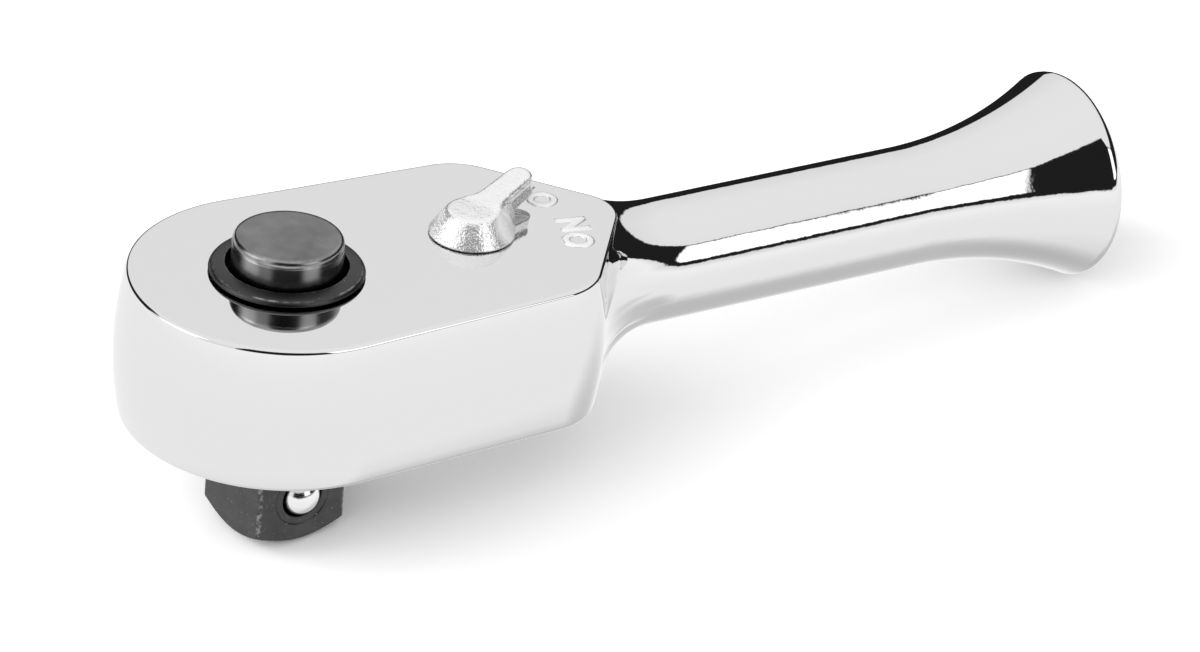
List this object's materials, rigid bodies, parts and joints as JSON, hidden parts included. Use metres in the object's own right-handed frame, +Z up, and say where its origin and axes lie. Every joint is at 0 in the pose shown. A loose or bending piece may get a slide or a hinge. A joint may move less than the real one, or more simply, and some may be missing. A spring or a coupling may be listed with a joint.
{
  "type": "quick-release ratchet",
  "caption": "Stubby chromed ratchet handle with a square drive, detent ball, quick-release button on top and a reversing lever behind it; the short handle flares at its end.",
  "frame": {"origin": "centre of the drive square's end face, on the drive axis", "axes": "+Z up the drive axis from the square's end to the release button, +X along the handle to its flared end, +Y to the side that the reversing lever points to at rest"},
  "size_m": [0.1041, 0.031, 0.0299],
  "materials": {
    "chrome_forging": "polished chrome plate on forged steel",
    "black_oxide_steel": "black oxide on hardened steel",
    "gunmetal_steel": "satin dark gunmetal",
    "plated_zinc": "bright plated casting",
    "bright_steel": "bright ground steel",
    "seal_rubber": "matt nitrile"
  },
  "bodies": {
    "body": {"ratchet_body": "chrome_forging", "cover_plate": "chrome_forging", "cover_screw_1": "bright_steel", "cover_screw_2": "bright_steel", "cover_screw_3": "bright_steel", "cover_screw_4": "bright_steel", "hub_seal": "seal_rubber", "drive_seal": "seal_rubber", "gear_shim": "bright_steel"},
    "drive": {"drive_gear": "black_oxide_steel", "button_collar": "black_oxide_steel", "release_spring": "bright_steel"},
    "button": {"release_button": "gunmetal_steel", "release_stem": "bright_steel"},
    "ball": {"detent_ball": "bright_steel"},
    "lever": {"reversing_lever": "plated_zinc", "lever_detent_ball": "bright_steel", "lever_detent_spring": "bright_steel", "lever_seal": "seal_rubber", "lever_clip": "bright_steel"},
    "pawl": {"pawl": "bright_steel"}
  },
  "joints": [
    {"name": "drive_spin", "type": "hinge", "parent": "body", "child": "drive", "pos_m": [0, 0, 0.0185], "axis": [0, 0, 1], "continuous": true},
    {"name": "button_press", "type": "slide", "parent": "drive", "child": "button", "axis": [0, 0, -1], "range_m": [0, 0.002], "stiffness_N_per_m": 600, "springref_m": -0.003, "deforming": ["release_spring"]},
    {"name": "ball_retract", "type": "slide", "parent": "drive", "child": "ball", "axis": [-0.0872, 0.9962, 0], "range_m": [0, 0.001]},
    {"name": "lever_turn", "type": "hinge", "parent": "body", "child": "lever", "pos_m": [0.0193, 0, 0.02], "axis": [0, 0, 1], "range_deg": [-53.2, 0]},
    {"name": "pawl_rock", "type": "hinge", "parent": "body", "child": "pawl", "pos_m": [0.0193, 0, 0.018], "axis": [0, 0, 1], "range_deg": [-6.4, 0]}
  ],
  "couplings": [
    {"joint": "ball_retract", "follows": "button_press", "ratio": 0.5},
    {"joint": "pawl_rock", "follows": "lever_turn", "ratio": 0.12}
  ]
}
